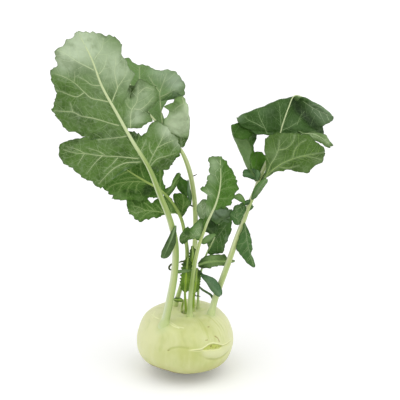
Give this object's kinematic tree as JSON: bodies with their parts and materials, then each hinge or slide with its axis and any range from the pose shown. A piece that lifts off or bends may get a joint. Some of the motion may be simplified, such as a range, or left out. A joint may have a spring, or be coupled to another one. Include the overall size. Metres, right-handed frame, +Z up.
{
  "type": "kohlrabi",
  "caption": "Kohlrabi as picked: a round pale green bulb standing on its small flat spot, with long stalks, large veined leaves, leaflets and young leaves on its crown.",
  "frame": {"origin": "middle of the small flat spot that the bulb stands on", "axes": "+Z up along the bulb's axis, -Y to the front, towards the big leaf's underside, +X to the right"},
  "size_m": [0.2402, 0.104, 0.3182],
  "materials": {
    "bulb_skin": "smooth waxy skin, slightly glossy",
    "stalk_skin": "smooth waxy stalk, satin",
    "leaf_blade": "matte waxy leaf with raised veins",
    "young_leaf": "fresh young leaf, satin"
  },
  "bodies": {
    "root": {"bulb": "bulb_skin", "front_leaf_stalk": "stalk_skin", "front_leaf_blade": "leaf_blade", "back_leaf_stalk": "stalk_skin", "back_leaf_blade": "leaf_blade", "lower_leaf_stalk": "stalk_skin", "lower_leaf_blade": "leaf_blade", "middle_leaf_stalk": "stalk_skin", "middle_leaf_blade": "leaf_blade", "right_leaf_stalk": "stalk_skin", "right_leaf_blade": "leaf_blade", "small_leaf_stalk": "stalk_skin", "small_leaf_blade": "leaf_blade", "back_leaf_right_lobe": "leaf_blade", "right_leaf_front_lobe": "leaf_blade", "right_leaf_left_lobe": "leaf_blade", "right_leaf_small_lobe": "leaf_blade", "right_leaf_clasping_leaflet": "leaf_blade", "right_leaf_left_leaflet": "leaf_blade", "right_leaf_hanging_leaflet": "leaf_blade", "middle_leaf_left_lobe": "leaf_blade", "middle_leaf_right_lobe": "leaf_blade", "middle_leaf_lower_leaflet": "leaf_blade", "front_leaf_leaflet": "leaf_blade", "lower_leaf_bottom_lobe": "leaf_blade", "lower_leaf_right_lobe": "leaf_blade", "lower_leaf_upper_lobe": "leaf_blade", "small_leaf_lower_lobe": "leaf_blade", "blue_leaflet": "leaf_blade", "curled_leaflet": "leaf_blade", "young_leaf_1_stalk": "stalk_skin", "young_leaf_1_blade": "young_leaf", "young_leaf_2_stalk": "stalk_skin", "young_leaf_2_blade": "young_leaf", "young_leaf_3_stalk": "stalk_skin", "young_leaf_3_blade": "young_leaf", "young_leaf_4_stalk": "stalk_skin", "young_leaf_4_blade": "young_leaf"}
  },
  "joints": []
}
